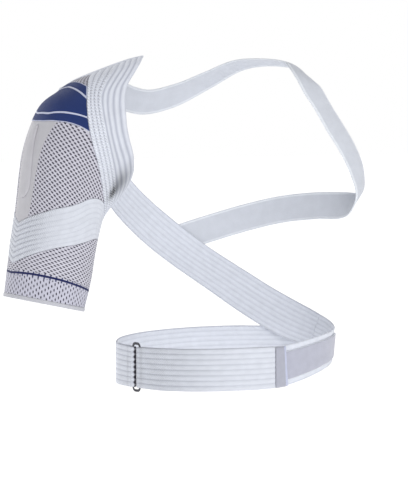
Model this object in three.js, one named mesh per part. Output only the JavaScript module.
// Shoulder brace: a knitted sleeve on the right arm, a ribbed collar band round its armhole,
// a ribbed strap down the back to a waist belt with a ring buckle, and a plain strap over the left shoulder.
// Millimetres, +Z up. The wearer looks along -Y, so the right arm is at -X.
// The origin is the seat on the right shoulder, under the top of the collar band.
import * as THREE from 'three';

// Body that the brace fits
const armReach = 291;        // middle of the body to the outer edge of the hem
const sleeveDrop = 303;      // level of the neck's foot to the inner edge of the hem
const armDepth = 120;        // front to back at the armhole
const waistBreadth = 282;
const waistDepth = 212;
const beltDrop = 371;        // level of the neck's foot to the middle of the belt

// Webbing, knit and hardware
const bandWidth = 51.5;
const bandWall = 1.7;
const ribHeight = 0.6;
const ribCount = 8;
const strapWidth = 36;
const strapWall = 1.6;
const knitWall = 1.6;
const capWall = 2.2;
const stripeWidth = 2.4;
const lineWidth = 2;
const hemWidth = 5;
const hemWall = 2.4;
const padWall = 3;
const patchWidth = 40;
const patchWall = 1.2;
const tabLength = 9.5;
const tabWall = 3;
const tabEdgeLength = 2.5;
const ringHeight = 60.5;
const ringBreadth = 14.6;
const ringWire = 3.2;
const ringCorner = 3.8;
const foldWidth = 49.4;      // webbing where it is folded round a bar of the ring
const seamGap = 0.5;         // between pieces sewn edge to edge
const layerGap = 0.4;        // between pieces sewn face to face
const foldGap = 0.35;        // between a bar and the webbing folded round it
const crossingSlack = 1.1;   // left where one strap crosses another
const tipWidth = 1.8;        // of a zone of the knit where it runs out
const strapCrown = 1.5;      // rise of the shoulder strap's middle over its edges
const facetLength = 17;      // of ribbed webbing
const plainFacetLength = 22; // of plain webbing

// Sections of the sleeve, from the collar band's free edge to the hem. Each is an oval through an
// outer and an inner point. out and drop are shares of armReach and sleeveDrop, front and back of armDepth.
const sleeveSections = [
  {
    along: -0.30, outerOut: 0.378, outerDrop: -0.010, innerOut: 0.543, innerDrop: 0.545,
    front: 0.233, back: 0.667, full: 0.11,
  },
  {
    along: -0.15, outerOut: 0.511, outerDrop: 0.030, innerOut: 0.574, innerDrop: 0.578,
    front: 0.275, back: 0.700, full: 0.10,
  },
  {
    along: 0.00, outerOut: 0.664, outerDrop: 0.082, innerOut: 0.598, innerDrop: 0.604,
    front: 0.292, back: 0.717, full: 0.08,
  },
  {
    along: 0.12, outerOut: 0.736, outerDrop: 0.125, innerOut: 0.612, innerDrop: 0.624,
    front: 0.292, back: 0.725, full: 0.07,
  },
  {
    along: 0.25, outerOut: 0.821, outerDrop: 0.184, innerOut: 0.622, innerDrop: 0.650,
    front: 0.283, back: 0.725, full: 0.05,
  },
  {
    along: 0.42, outerOut: 0.896, outerDrop: 0.348, innerOut: 0.632, innerDrop: 0.703,
    front: 0.267, back: 0.717, full: 0.03,
  },
  {
    along: 0.60, outerOut: 0.938, outerDrop: 0.578, innerOut: 0.643, innerDrop: 0.779,
    front: 0.237, back: 0.692, full: 0.01,
  },
  {
    along: 0.80, outerOut: 0.971, outerDrop: 0.746, innerOut: 0.656, innerDrop: 0.884,
    front: 0.200, back: 0.667, full: 0.00,
  },
  {
    along: 1.00, outerOut: 1.000, outerDrop: 0.931, innerOut: 0.687, innerDrop: 1.000,
    front: 0.167, back: 0.637, full: 0.00,
  },
];

// Level ovals of the trunk: drop is a share of beltDrop, breadth of half of waistBreadth,
// depth and back of half of waistDepth.
const trunkSections = [
  { drop: 0.189, breadth: 0.993, depth: 0.925, back: 0.226 },
  { drop: 0.323, breadth: 1.170, depth: 1.075, back: 0.245 },
  { drop: 0.431, breadth: 1.248, depth: 1.132, back: 0.264 },
  { drop: 0.539, breadth: 1.220, depth: 1.151, back: 0.245 },
  { drop: 0.668, breadth: 1.170, depth: 1.132, back: 0.226 },
  { drop: 0.803, breadth: 1.113, depth: 1.085, back: 0.113 },
  { drop: 0.922, breadth: 1.028, depth: 1.014, back: 0.057 },
  { drop: 1.005, breadth: 1.000, depth: 1.000, back: 0.047 },
  { drop: 1.132, breadth: 1.050, depth: 1.047, back: 0.075 },
];

// Edges on the sleeve: along, by the turn from its outer line to the front or to the back, in degrees.
const sleeveEdges = {
  seam: [
    { turn: 0, along: -0.045 }, { turn: 24, along: 0.035 }, { turn: 44, along: 0.13 },
    { turn: 60, along: 0.18 }, { turn: 76, along: 0.205 }, { turn: 90, along: 0.215 },
    { turn: 106, along: 0.235 }, { turn: 126, along: 0.265 }, { turn: 146, along: 0.285 },
    { turn: 180, along: 0.30 },
  ],
  capTop: [
    { turn: 0, along: 0.04 }, { turn: 14, along: 0.045 }, { turn: 26, along: 0.045 },
    { turn: 40, along: 0.03 },
  ],
  stripeUpper: [
    { turn: 0, along: 0.09 }, { turn: 12, along: 0.097 }, { turn: 26, along: 0.10 },
    { turn: 38, along: 0.095 }, { turn: 50, along: 0.07 },
  ],
  stripeLower: [
    { turn: 0, along: 0.285 }, { turn: 12, along: 0.282 }, { turn: 20, along: 0.271 },
    { turn: 32, along: 0.246 }, { turn: 42, along: 0.215 }, { turn: 53, along: 0.16 },
    { turn: 62, along: 0.10 },
  ],
  capBottom: [
    { turn: 0, along: 0.323 }, { turn: 11, along: 0.32 }, { turn: 25, along: 0.305 },
    { turn: 34, along: 0.29 }, { turn: 49, along: 0.25 }, { turn: 60, along: 0.21 },
    { turn: 74, along: 0.15 },
  ],
  bandTop: [
    { turn: 0, along: 0.665 }, { turn: 18, along: 0.633 }, { turn: 48, along: 0.575 },
    { turn: 84, along: 0.48 }, { turn: 124, along: 0.27 }, { turn: 146, along: 0.22 },
    { turn: 180, along: 0.20 },
  ],
  bandBottom: [
    { turn: 0, along: 0.86 }, { turn: 18, along: 0.833 }, { turn: 40, along: 0.79 },
    { turn: 66, along: 0.725 }, { turn: 94, along: 0.648 }, { turn: 140, along: 0.51 },
    { turn: 180, along: 0.50 },
  ],
  line: [
    { turn: 0, along: 0.892 }, { turn: 20, along: 0.886 }, { turn: 45, along: 0.877 },
    { turn: 90, along: 0.865 }, { turn: 180, along: 0.86 },
  ],
};

// Width of the collar band, in shares of bandWidth to armReach: the sections crowd near the armpit.
const collarSpans = [
  { turn: 0, span: 1.50 }, { turn: 36, span: 1.56 }, { turn: 47, span: 1.50 }, { turn: 64, span: 1.62 },
  { turn: 90, span: 1.92 }, { turn: 110, span: 2.50 }, { turn: 124, span: 2.98 }, { turn: 136, span: 3.15 },
  { turn: 180, span: 2.90 },
];

// Plain panel and pad on the sleeve's outside: half their width, in degrees, by along.
const panelEdges = [
  { along: 0.30, turn: 31 }, { along: 0.34, turn: 27 }, { along: 0.42, turn: 22 }, { along: 0.50, turn: 20 },
  { along: 0.65, turn: 17 },
];
const padEdges = [
  { along: 0.335, turn: 4 }, { along: 0.385, turn: 5.5 }, { along: 0.44, turn: 9 }, { along: 0.50, turn: 12 },
  { along: 0.545, turn: 11.5 }, { along: 0.57, turn: 6 },
];

// Route of the middle of the belt and of the back strap round the trunk: turn 180 is the right side,
// 270 the front, 360 the left side, 450 the back. drop is a share of beltDrop, width of bandWidth.
const beltRoute = [
  { turn: 0, drop: 1.000, width: 1.00 }, { turn: 262, drop: 1.000, width: 1.00 },
  { turn: 276, drop: 0.999, width: 0.96 }, { turn: 290, drop: 0.987, width: 0.92 },
  { turn: 306, drop: 0.975, width: 0.88 }, { turn: 331, drop: 0.964, width: 0.82 },
  { turn: 352, drop: 0.952, width: 0.84 }, { turn: 372, drop: 0.933, width: 0.92 },
  { turn: 392, drop: 0.895, width: 1.00 }, { turn: 412, drop: 0.825, width: 1.00 },
  { turn: 434, drop: 0.715, width: 1.00 }, { turn: 456, drop: 0.590, width: 1.00 },
  { turn: 474, drop: 0.475, width: 1.00 }, { turn: 486, drop: 0.395, width: 1.00 },
];
const ringTurn = 190.5;
const tabTurn = 269;         // free end of the belt, folded back from the ring
const patchFrom = 260;
const patchTo = 332;
const backSeamTurn = 366;    // seam between the belt and the back strap
const backStrapTop = 484;    // where the back strap leaves the trunk for the collar band
const shortFoldTurn = 168;   // end of the webbing folded round the ring's other bar
const buckleStrapTurns = [155, 140, 122, 104, 86, 70, 58, 49, 40, 30, 20, 10];
const buckleStrapOver = 52;  // turn from which it lies on the back strap

// First rows of the two straps on the back of the collar band, by turn and along
const backStrapEnd = [{ turn: -98, along: -0.07 }, { turn: -95, along: 0.09 }];
const shoulderStrapStart = [
  { turn: -45, along: 0.05 }, { turn: -47, along: -0.03 }, { turn: -49, along: -0.11 },
  { turn: -51, along: -0.18 },
];

// Route of the shoulder strap from the nape to the armpit, by its edge nearer to the neck and its farther
// edge: side is a share of half of waistBreadth, back of half of waistDepth and drop of beltDrop.
const shoulderStrapRoute = [
  {
    nearSide: -0.465, nearBack: 0.887, nearDrop: 0.097,
    farSide: -0.457, farBack: 1.038, farDrop: 0.183,
  },
  {
    nearSide: -0.177, nearBack: 0.840, nearDrop: 0.078,
    farSide: -0.106, farBack: 1.009, farDrop: 0.159,
  },
  {
    nearSide: 0.060, nearBack: 0.679, nearDrop: 0.038,
    farSide: 0.223, farBack: 0.868, farDrop: 0.092,
  },
  {
    nearSide: 0.248, nearBack: 0.429, nearDrop: 0.000,
    farSide: 0.433, farBack: 0.608, farDrop: 0.032,
  },
  {
    nearSide: 0.397, nearBack: 0.146, nearDrop: -0.005,
    farSide: 0.596, farBack: 0.344, farDrop: 0.016,
  },
  {
    nearSide: 0.532, nearBack: -0.094, nearDrop: 0.005,
    farSide: 0.759, farBack: 0.057, farDrop: 0.027,
  },
  {
    nearSide: 0.525, nearBack: -0.245, nearDrop: 0.030,
    farSide: 0.759, farBack: -0.132, farDrop: 0.051,
  },
  {
    nearSide: 0.546, nearBack: -0.340, nearDrop: 0.065,
    farSide: 0.787, farBack: -0.226, farDrop: 0.070,
  },
  {
    nearSide: 0.603, nearBack: -0.377, nearDrop: 0.111,
    farSide: 0.837, farBack: -0.274, farDrop: 0.089,
  },
  {
    nearSide: 0.667, nearBack: -0.387, nearDrop: 0.143,
    farSide: 0.901, farBack: -0.274, farDrop: 0.121,
  },
  {
    nearSide: 0.738, nearBack: -0.387, nearDrop: 0.178,
    farSide: 0.965, farBack: -0.255, farDrop: 0.151,
  },
  {
    nearSide: 0.865, nearBack: -0.358, nearDrop: 0.240,
    farSide: 1.092, farBack: -0.245, farDrop: 0.210,
  },
  {
    nearSide: 1.035, nearBack: -0.302, nearDrop: 0.310,
    farSide: 1.270, farBack: -0.189, farDrop: 0.288,
  },
  {
    nearSide: 1.191, nearBack: -0.245, nearDrop: 0.391,
    farSide: 1.418, farBack: -0.094, farDrop: 0.369,
  },
  {
    nearSide: 1.284, nearBack: -0.189, nearDrop: 0.469,
    farSide: 1.475, farBack: 0.028, farDrop: 0.453,
  },
  {
    nearSide: 1.291, nearBack: 0.019, nearDrop: 0.539,
    farSide: 1.383, farBack: 0.208, farDrop: 0.456,
  },
];

// Its route from under the arm to the back strap, on the trunk. lift is a share of what lies over the band.
const loopRoute = [
  { turn: 14, drop: 0.507, lift: 0.74 }, { turn: 34, drop: 0.523, lift: 0.37 },
  { turn: 52, drop: 0.553, lift: 0.93 }, { turn: 70, drop: 0.592, lift: 1.33 },
  { turn: 86, drop: 0.626, lift: 1.33 },
];

const seat = { turn: 0, along: -0.10 };
const barTurn = 6;           // degrees from the ring's middle to where its webbing starts to rise
const turnStep = 10;
const beltStep = 9;
const ribSteps = 2 * ribCount;
const innerSteps = 4;
const rad = Math.PI / 180;
const vec = (x, y, z) => new THREE.Vector3(x, y, z);

// Smooth value of a column of a table at a value of its key column, straight on past its ends
function smooth(rows, key, column, at) {
  const end = rows.length - 1;
  const slope = (k) => {
    const a = rows[Math.max(k - 1, 0)];
    const b = rows[Math.min(k + 1, end)];
    return (b[column] - a[column]) / (b[key] - a[key]);
  };
  if (at <= rows[0][key]) return rows[0][column] + (at - rows[0][key]) * slope(0);
  if (at >= rows[end][key]) return rows[end][column] + (at - rows[end][key]) * slope(end);
  const i = rows.findIndex((row) => at < row[key]) - 1;
  const step = rows[i + 1][key] - rows[i][key];
  const t = (at - rows[i][key]) / step;
  const t2 = t * t;
  const t3 = t2 * t;
  return (2 * t3 - 3 * t2 + 1) * rows[i][column] + (t3 - 2 * t2 + t) * step * slope(i)
    + (3 * t2 - 2 * t3) * rows[i + 1][column] + (t3 - t2) * step * slope(i + 1);
}

const mix = (a, b, t) => a + (b - a) * t;

// Point of the sleeve's inner face
function onSleeve(turn, along) {
  const get = (column) => smooth(sleeveSections, 'along', column, along);
  const c = Math.cos(turn * rad);
  const s = Math.sin(turn * rad);
  const swell = 1 + get('full') * (2 * s * c) ** 2;
  const outer = { x: -get('outerOut') * armReach, z: -get('outerDrop') * sleeveDrop };
  const inner = { x: -get('innerOut') * armReach, z: -get('innerDrop') * sleeveDrop };
  const front = -get('front') * armDepth;
  const back = get('back') * armDepth;
  const reach = c * swell;
  return vec(
    (outer.x + inner.x + (outer.x - inner.x) * reach) / 2,
    (front + back + (front - back) * s * swell) / 2,
    (outer.z + inner.z + (outer.z - inner.z) * reach) / 2,
  );
}

function sleeveFace(turn, along) {
  const round = onSleeve(turn + 1, along).sub(onSleeve(turn - 1, along));
  const down = onSleeve(turn, along + 0.005).sub(onSleeve(turn, along - 0.005));
  return down.cross(round).normalize();
}

const offSleeve = (turn, along, lift) => onSleeve(turn, along).addScaledVector(sleeveFace(turn, along), lift);

// Length along the sleeve, in millimetres, for one unit of along
const stretch = (turn, along) => onSleeve(turn, along + 0.01).distanceTo(onSleeve(turn, along - 0.01)) / 0.02;

// Turn from the outer line, the same to the front and to the back
const wrap = (turn) => Math.abs(((turn + 180) % 360 + 360) % 360 - 180);
const edge = (name, turn) => smooth(sleeveEdges[name], 'turn', 'along', wrap(turn));
const seamAt = (turn) => edge('seam', turn);
const collarSpan = (turn) => smooth(collarSpans, 'turn', 'span', wrap(turn)) * bandWidth / armReach;
const collarEdge = (turn) => seamAt(turn) - collarSpan(turn);

// Point of the trunk's surface
function onTrunk(turn, z) {
  const get = (column) => smooth(trunkSections, 'drop', column, -z / beltDrop);
  return vec(
    get('breadth') * Math.cos(turn * rad) * waistBreadth / 2,
    (get('back') + get('depth') * Math.sin(turn * rad)) * waistDepth / 2,
    z,
  );
}

function trunkFace(turn, z) {
  const round = onTrunk(turn + 1, z).sub(onTrunk(turn - 1, z));
  const up = onTrunk(turn, z + 1).sub(onTrunk(turn, z - 1));
  return round.cross(up).normalize();
}

// Closed wall between an outer and an inner face, each a function of the step along and the share across
function wall({ steps, closed = false, outerAcross, innerAcross, outer, inner }) {
  const rows = closed ? steps : steps + 1;
  const vertices = [];
  const triangles = [];
  const grid = (across, face) => {
    const first = vertices.length;
    for (let i = 0; i < rows; i++) {
      for (let j = 0; j <= across; j++) vertices.push(face(i / steps, j / across));
    }
    return (i, j) => first + (i % rows) * (across + 1) + j;
  };
  const top = grid(outerAcross, outer);
  const under = grid(innerAcross, inner);
  const quad = (a, b, c, d) => triangles.push([a, b, c], [a, c, d]);
  for (let i = 0; i < steps; i++) {
    for (let j = 0; j < outerAcross; j++) {
      quad(top(i, j), top(i + 1, j), top(i + 1, j + 1), top(i, j + 1));
    }
    for (let j = 0; j < innerAcross; j++) {
      quad(under(i, j), under(i, j + 1), under(i + 1, j + 1), under(i + 1, j));
    }
    quad(top(i, 0), under(i, 0), under(i + 1, 0), top(i + 1, 0));
    quad(top(i, outerAcross), top(i + 1, outerAcross), under(i + 1, innerAcross), under(i, innerAcross));
  }
  const cap = (i, flip) => {
    const add = (a, b, c) => triangles.push(flip ? [a, c, b] : [a, b, c]);
    let j = 0;
    let k = 0;
    while (j < outerAcross || k < innerAcross) {
      if (k === innerAcross || (j < outerAcross && (j + 1) / outerAcross <= (k + 1) / innerAcross)) {
        add(top(i, j), top(i, j + 1), under(i, k));
        j += 1;
      } else {
        add(top(i, j), under(i, k + 1), under(i, k));
        k += 1;
      }
    }
  };
  if (!closed) {
    cap(0, false);
    cap(steps, true);
  }
  return outward(vertices, triangles);
}

// Geometry of a closed body, with its faces turned outwards
function outward(vertices, triangles) {
  let volume = 0;
  for (const [a, b, c] of triangles) {
    volume += vertices[a].dot(vertices[b].clone().cross(vertices[c]));
  }
  const index = triangles.flatMap(([a, b, c]) => (volume < 0 ? [a, c, b] : [a, b, c]));
  const geometry = new THREE.BufferGeometry();
  const places = vertices.flatMap((v) => v.toArray());
  geometry.setAttribute('position', new THREE.Float32BufferAttribute(places, 3));
  geometry.setIndex(index);
  geometry.computeVertexNormals();
  return geometry;
}

// Height of webbing ribs at a share of its width
const ribAt = (share) => ribHeight * (Math.round(share * ribSteps) % 2);
const flat = () => 0;

// Zone of the sleeve between two edges and two turns. Each limit may change along the other one.
function zone({
  low, high, from, to, steps, across, lift = flat, wallAt, relief = flat, closed = false, spread = (u) => u,
}) {
  const inset = (turn, along) => seamGap / 2 / stretch(turn, along);
  const sideInset = closed ? 0 : 1;
  const spot = (u, t) => {
    const s = spread(u);
    let turn = mix(from(0.5), to(0.5), s);
    let along = 0;
    for (let pass = 0; pass < 3; pass++) {
      along = mix(low(turn) + inset(turn, low(turn)), high(turn) - inset(turn, high(turn)), t);
      turn = mix(from(along), to(along), s);
    }
    const degree = onSleeve(turn + 1, along).distanceTo(onSleeve(turn, along));
    turn += sideInset * (1 - 2 * u) * seamGap / 2 / degree;
    return [turn, along];
  };
  return wall({
    steps,
    closed,
    outerAcross: across,
    innerAcross: Math.min(across, innerSteps),
    outer: (u, t) => offSleeve(...spot(u, t), lift(u, t) + wallAt(u, t) + relief(t)),
    inner: (u, t) => offSleeve(...spot(u, t), lift(u, t)),
  });
}

const fixed = (value) => () => value;
const loopSteps = 360 / turnStep;

function loopZone(low, high, across, thickness, relief = flat) {
  const options = { low, high, from: fixed(0), to: fixed(360), steps: loopSteps, across, closed: true };
  return zone({ ...options, wallAt: fixed(thickness), relief });
}

// Turn at which two edges that run together leave only the tip's width
function reachOf(low, high) {
  let turn = 0;
  while ((high(turn) - low(turn)) * stretch(turn, low(turn)) > tipWidth) turn += 1;
  return turn;
}

// Crescent zone over the shoulder, ending where its edges meet
function crescent(low, high, across, thickness) {
  const reach = reachOf(low, high);
  const steps = 2 * Math.ceil(reach / turnStep);
  const spread = (u) => (1 - Math.cos(Math.PI * u)) / 2;
  const limits = { low, high, from: fixed(-reach), to: fixed(reach) };
  return zone({ ...limits, steps, across, wallAt: fixed(thickness), spread });
}

// Row of a webbing that follows a route round the trunk
function routeRow(route, turn, width, lift, side = 1) {
  const middle = (at) => onTrunk(at, -smooth(route, 'turn', 'drop', at) * beltDrop);
  const at = middle(turn);
  const face = trunkFace(turn, at.z);
  const ahead = middle(turn + 1).sub(middle(turn - 1)).normalize();
  const across = ahead.cross(face).multiplyScalar(width / 2);
  const edges = [at.clone().sub(across), at.clone().add(across)].map((p) => toTrunk(p, lift));
  at.addScaledVector(face, lift);
  return { at, face: face.multiplyScalar(side), edges };
}

const beltWidth = (turn) => bandWidth * smooth(beltRoute, 'turn', 'width', turn);
const beltRow = (turn, lift, side = 1) => routeRow(beltRoute, turn, beltWidth(turn), lift, side);

// Nearest point of the trunk on the same level, lifted off it
function toTrunk(point, lift) {
  const hub = vec(0, (onTrunk(90, point.z).y + onTrunk(270, point.z).y) / 2, point.z);
  const breadth = onTrunk(0, point.z).x;
  const depth = onTrunk(90, point.z).y - hub.y;
  const turn = Math.atan2((point.y - hub.y) / depth, (point.x - hub.x) / breadth) / rad;
  return onTrunk(turn, point.z).addScaledVector(trunkFace(turn, point.z), lift);
}

// Row of a webbing's route on the back of the collar band, which it crosses
function collarRow(turn, along, width, lift) {
  const degree = onSleeve(turn + 1, along).distanceTo(onSleeve(turn, along));
  const reach = width / 2 / degree;
  const edges = [offSleeve(turn - reach, along, lift), offSleeve(turn + reach, along, lift)];
  return { at: offSleeve(turn, along, lift), face: sleeveFace(turn, along), edges };
}

// Webbing through rows of points, each with the direction of its face and, where it lies on
// something round, the places of its two edges
function webbing(rows, { width, thickness, ribbed = false, facet = facetLength }) {
  const table = [];
  let length = 0;
  rows.forEach((row, i) => {
    if (i) length += row.at.distanceTo(rows[i - 1].at);
    const before = rows[Math.max(i - 1, 0)].at;
    const after = rows[Math.min(i + 1, rows.length - 1)].at;
    const across = after.clone().sub(before).cross(row.face).normalize().multiplyScalar(width / 2);
    let [left, right] = row.edges ?? [row.at.clone().sub(across), row.at.clone().add(across)];
    if (right.clone().sub(left).dot(across) < 0) [left, right] = [right, left];
    const middle = left.clone().add(right).multiplyScalar(0.5);
    const crown = Math.max(0, row.at.clone().sub(middle).dot(row.face));
    table.push({
      length, crown,
      leftX: left.x, leftY: left.y, leftZ: left.z,
      rightX: right.x, rightY: right.y, rightZ: right.z,
      faceX: row.face.x, faceY: row.face.y, faceZ: row.face.z,
    });
  });
  const get = (name, at) => vec(...['X', 'Y', 'Z'].map((axis) => smooth(table, 'length', name + axis, at)));
  const marks = [];
  for (let i = 1; i < table.length; i++) {
    const [from, to] = [table[i - 1].length, table[i].length];
    const parts = Math.max(1, Math.round((to - from) / facet));
    for (let k = 0; k < parts; k++) marks.push(mix(from, to, k / parts));
  }
  marks.push(length);
  const stations = marks.map((at) => {
    const left = get('left', at);
    const right = get('right', at);
    const ends = [Math.max(at - 0.4, 0), Math.min(at + 0.4, length)];
    const [before, after] = ends.map((end) => get('left', end).add(get('right', end)));
    const face = right.clone().sub(left).cross(after.sub(before)).normalize();
    if (face.dot(get('face', at)) < 0) face.negate();
    return { left, right, face, crown: smooth(table, 'length', 'crown', at) };
  });
  const spot = (u, share, out) => {
    const { left, right, face, crown } = stations[Math.round(u * (stations.length - 1))];
    return left.clone().lerp(right, share).addScaledVector(face, out + crown * (1 - (2 * share - 1) ** 2));
  };
  const relief = ribbed ? ribAt : flat;
  return wall({
    steps: stations.length - 1,
    outerAcross: ribbed ? ribSteps : 2,
    innerAcross: ribbed ? innerSteps : 2,
    outer: (u, t) => spot(u, t, thickness + relief(t)),
    inner: (u, t) => spot(u, t, 0),
  });
}

// The ring's place on the right of the waist, and the folds of webbing round its bars
const ribbedWall = bandWall + ribHeight;
const foldRadius = ringWire / 2 + foldGap;
const barLift = ribbedWall + foldRadius;
const overLift = ribbedWall + layerGap;
const ringSpot = onTrunk(ringTurn, -beltDrop);
const ringFace = trunkFace(ringTurn, -beltDrop);
const ringAhead = vec(0, 0, 1).cross(ringFace).normalize();

function foldRows(side) {
  const bar = ringSpot.clone().addScaledVector(ringFace, barLift);
  bar.addScaledVector(ringAhead, side * (ringBreadth - ringWire) / 2);
  return [0, 30, 60, 90, 120, 150, 180].map((angle) => {
    const face = ringFace.clone().multiplyScalar(Math.cos(angle * rad));
    face.addScaledVector(ringAhead, -side * Math.sin(angle * rad));
    const at = bar.clone().addScaledVector(face, foldRadius);
    const half = vec(0, 0, foldWidth / 2);
    return { at, face, edges: [at.clone().sub(half), at.clone().add(half)] };
  });
}

function turnsBetween(from, to, step) {
  const count = Math.max(1, Math.round(Math.abs(to - from) / step));
  return Array.from({ length: count + 1 }, (_, i) => mix(from, to, i / count));
}

const patchLift = ribbedWall + layerGap;
const overPatchLift = patchLift + patchWall + layerGap;
const crossingLift = overLift + crossingSlack;
const outerLift = (turn) => (turn > patchFrom - 4 ? overPatchLift : overLift);

function beltGeometry() {
  const outerTurns = turnsBetween(tabTurn, ringTurn + 3 * barTurn, beltStep);
  const innerTurns = turnsBetween(ringTurn + 2 * barTurn, backSeamTurn, beltStep);
  const outerRows = outerTurns.map((turn) => beltRow(turn, outerLift(turn)));
  const innerRows = innerTurns.map((turn) => beltRow(turn, ribbedWall, -1));
  const rows = [...outerRows, ...foldRows(1), ...innerRows];
  return webbing(rows, { width: bandWidth, thickness: bandWall, ribbed: true });
}

function buckleStrapGeometry() {
  const shortTurns = turnsBetween(shortFoldTurn, ringTurn - 2 * barTurn, barTurn);
  const shortRows = shortTurns.map((turn) => beltRow(turn, ribbedWall, -1));
  const overRow = beltRow(shortFoldTurn + barTurn / 3, overLift);
  const backRows = buckleStrapTurns.map((turn) => levelRow(turn, turn < buckleStrapOver ? crossingLift : 0));
  const rows = [...shortRows, ...foldRows(-1).reverse(), overRow, ...backRows];
  return webbing(rows, { width: bandWidth, thickness: bandWall, ribbed: true });
}

// Row of a webbing that goes level round the waist
function levelRow(turn, lift) {
  const at = onTrunk(turn, -beltDrop);
  const face = trunkFace(turn, at.z);
  const edges = [-0.5, 0.5].map((share) => toTrunk(vec(at.x, at.y, at.z + share * bandWidth), lift));
  return { at: at.addScaledVector(face, lift), face, edges };
}

function backStrapGeometry() {
  const start = backSeamTurn + 2 * seamGap / (rad * waistBreadth / 2);
  const rows = turnsBetween(start, backStrapTop, turnStep).map((turn) => beltRow(turn, 0));
  backStrapEnd.forEach(({ turn, along }) => rows.push(collarRow(turn, along, bandWidth, crossingLift)));
  return webbing(rows, { width: bandWidth, thickness: bandWall, ribbed: true });
}

function shoulderStrapGeometry() {
  const scale = vec(waistBreadth / 2, waistDepth / 2, -beltDrop);
  const rows = shoulderStrapStart.map(({ turn, along }) => collarRow(turn, along, strapWidth, crossingLift));
  shoulderStrapRoute.forEach((row) => {
    const near = vec(row.nearSide, row.nearBack, row.nearDrop).multiply(scale);
    const far = vec(row.farSide, row.farBack, row.farDrop).multiply(scale);
    rows.push({ at: near.clone().lerp(far, 0.5), edges: [near, far] });
  });
  loopRoute.forEach(({ turn, lift }) => rows.push(routeRow(loopRoute, turn, strapWidth, lift * overLift)));
  rows.forEach((row, i) => {
    if (row.face) return;
    const ahead = rows[i + 1].at.clone().sub(rows[i - 1].at);
    row.face = ahead.cross(row.edges[1].clone().sub(row.edges[0])).normalize();
    row.at.addScaledVector(row.face, strapCrown);
  });
  return webbing(rows, { width: strapWidth, thickness: strapWall, facet: plainFacetLength });
}

// Flat strip on the belt, between two turns
function beltStrip(from, to, width, lift, thickness) {
  const rows = turnsBetween(from, to, beltStep).map((turn) => beltRow(turn, lift));
  rows.forEach((row) => {
    const middle = row.edges[0].clone().add(row.edges[1]).multiplyScalar(0.5);
    row.edges = row.edges.map((p) => middle.clone().lerp(p, width / bandWidth));
    row.at = middle;
  });
  return webbing(rows, { width, thickness });
}

// Ring with two long bars and round ends
function ringGeometry() {
  const halfLong = (ringHeight - ringWire) / 2;
  const halfShort = (ringBreadth - ringWire) / 2;
  const cornerSteps = 4;
  const sides = 6;
  const centres = [];
  for (const [x, z, start] of [[1, 1, 0], [-1, 1, 90], [-1, -1, 180], [1, -1, 270]]) {
    for (let k = 0; k <= cornerSteps; k++) {
      const angle = (start + 90 * k / cornerSteps) * rad;
      const across = x * (halfShort - ringCorner) + ringCorner * Math.cos(angle);
      const up = z * (halfLong - ringCorner) + ringCorner * Math.sin(angle);
      centres.push({ across, up, out: vec(Math.cos(angle), 0, Math.sin(angle)) });
    }
  }
  const vertices = [];
  const triangles = [];
  const middle = ringSpot.clone().addScaledVector(ringFace, barLift);
  centres.forEach(({ across, up, out }) => {
    for (let j = 0; j < sides; j++) {
      const angle = 2 * Math.PI * j / sides;
      const side = across + Math.cos(angle) * out.x * ringWire / 2;
      const height = up + Math.cos(angle) * out.z * ringWire / 2;
      const point = middle.clone().addScaledVector(ringAhead, side);
      point.addScaledVector(ringFace, Math.sin(angle) * ringWire / 2);
      vertices.push(point.setZ(middle.z + height));
    }
  });
  const at = (i, j) => (i % centres.length) * sides + (j % sides);
  for (let i = 0; i < centres.length; i++) {
    for (let j = 0; j < sides; j++) {
      triangles.push([at(i, j), at(i + 1, j), at(i + 1, j + 1)]);
      triangles.push([at(i, j), at(i + 1, j + 1), at(i, j + 1)]);
    }
  }
  return outward(vertices, triangles);
}

const colours = {
  band: 0xd3d6e0, knit: 0xb4b3bf, navy: 0x2e3c68, stripe: 0xc9cdd6, panel: 0xcfd1d7, arm: 0xd2d4df,
  strap: 0xd7dce5, patch: 0xb9bcc9, tab: 0xb5b7c3, metal: 0x3a3b40,
};

const brace = new THREE.Group();
const worn = new THREE.Group();
const seatPoint = onSleeve(seat.turn, seat.along);
worn.position.copy(seatPoint).negate();
brace.add(worn);

function add(name, geometry, colour, roughness = 0.9, metalness = 0) {
  const material = new THREE.MeshStandardMaterial({ color: colour, roughness, metalness });
  const mesh = new THREE.Mesh(geometry, material);
  mesh.name = name;
  worn.add(mesh);
}

const above = (a, b) => (turn) => Math.max(a(turn), b(turn));
const along = (name) => (turn) => edge(name, turn);
const shifted = (name, width) => (turn) => edge(name, turn) + width / stretch(turn, edge(name, turn));
const capTop = above(along('capTop'), seamAt);
const underStripe = (name) => above(shifted(name, stripeWidth), seamAt);
const sleeveTop = above(along('capBottom'), seamAt);
const bandTop = above(along('bandTop'), seamAt);

function addCollar() {
  add('collar_band', loopZone(collarEdge, seamAt, ribSteps, bandWall, ribAt), colours.band);
}

function addCap() {
  const stripe = (name) => crescent(above(along(name), seamAt), underStripe(name), 2, capWall);
  const between = (upper, lower) => crescent(underStripe(upper), lower, 4, capWall);
  add('gore_knit', crescent(seamAt, capTop, 1, knitWall), colours.knit);
  add('cap_upper', crescent(capTop, above(along('stripeUpper'), seamAt), 2, capWall), colours.navy);
  add('cap_stripe_upper', stripe('stripeUpper'), colours.stripe);
  add('cap_middle', between('stripeUpper', above(along('stripeLower'), seamAt)), colours.navy);
  add('cap_stripe_lower', stripe('stripeLower'), colours.stripe);
  add('cap_lower', crescent(underStripe('stripeLower'), sleeveTop, 1, capWall), colours.navy);
}

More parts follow.
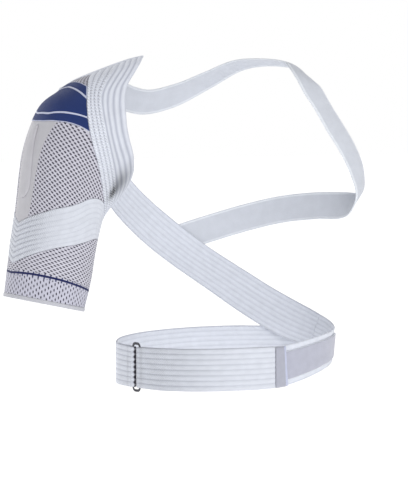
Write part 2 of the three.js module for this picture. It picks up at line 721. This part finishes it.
function addSleeve() {
  const panelAt = (at) => smooth(panelEdges, 'along', 'turn', at);
  const panelLeft = (at) => -panelAt(at);
  const common = { low: sleeveTop, high: bandTop, across: 5, wallAt: fixed(knitWall) };
  const reach = fixed(reachOf(sleeveTop, bandTop));
  add('mesh_front', zone({ ...common, from: panelAt, to: reach, steps: 11 }), colours.knit);
  add('mesh_back', zone({ ...common, from: fixed(-reach()), to: panelLeft, steps: 11 }), colours.knit);
  add('side_panel', zone({ ...common, from: panelLeft, to: panelAt, steps: 4 }), colours.panel);
}

function addPad() {
  const first = padEdges[0].along;
  const last = padEdges[padEdges.length - 1].along;
  const half = (at) => smooth(padEdges, 'along', 'turn', at);
  const dome = (u, t) => {
    const inside = Math.min(u, 1 - u) * 2 * Math.min(1, 4 * t, 4 * (1 - t));
    return padWall * (0.4 + 0.6 * Math.min(1, 2.5 * inside));
  };
  add('side_pad', zone({
    low: fixed(first), high: fixed(last), from: (at) => -half(at), to: half,
    steps: 6, across: 7, lift: fixed(knitWall + layerGap), wallAt: dome,
  }), colours.panel);
}

function addArmBand() {
  add('arm_band', loopZone(bandTop, along('bandBottom'), ribSteps, bandWall, ribAt), colours.arm);
}

function addCuff() {
  const line = along('line');
  const underLine = shifted('line', lineWidth);
  const hemTop = (turn) => 1 - hemWidth / stretch(turn, 1);
  add('lower_knit', loopZone(along('bandBottom'), line, 2, knitWall), colours.knit);
  add('blue_line', loopZone(line, underLine, 1, knitWall), colours.navy);
  add('cuff_knit', loopZone(underLine, hemTop, 2, knitWall), colours.knit);
  add('hem', loopZone(hemTop, fixed(1), 2, hemWall), colours.stripe);
}

function addBelt() {
  add('belt', beltGeometry(), colours.band);
  add('buckle_strap', buckleStrapGeometry(), colours.band);
  add('back_strap', backStrapGeometry(), colours.band);
  add('shoulder_strap', shoulderStrapGeometry(), colours.strap);
  add('buckle_ring', ringGeometry(), colours.metal, 0.4, 0.8);
  add('landing_patch', beltStrip(patchFrom, patchTo, patchWidth, patchLift, patchWall), colours.patch);
  const degrees = (length) => length / (rad * waistDepth / 2);
  const tabStart = tabTurn + degrees(seamGap);
  const tabEnd = tabStart + degrees(tabLength);
  const edgeStart = tabEnd + degrees(seamGap);
  add('end_tab', beltStrip(tabStart, tabEnd, bandWidth, overPatchLift, tabWall), colours.tab);
  const edgeEnd = edgeStart + degrees(tabEdgeLength);
  add('tab_edge', beltStrip(edgeStart, edgeEnd, bandWidth, overPatchLift, tabWall / 2), colours.stripe);
}

addCollar();
addCap();
addSleeve();
addPad();
addArmBand();
addCuff();
addBelt();

export default brace;
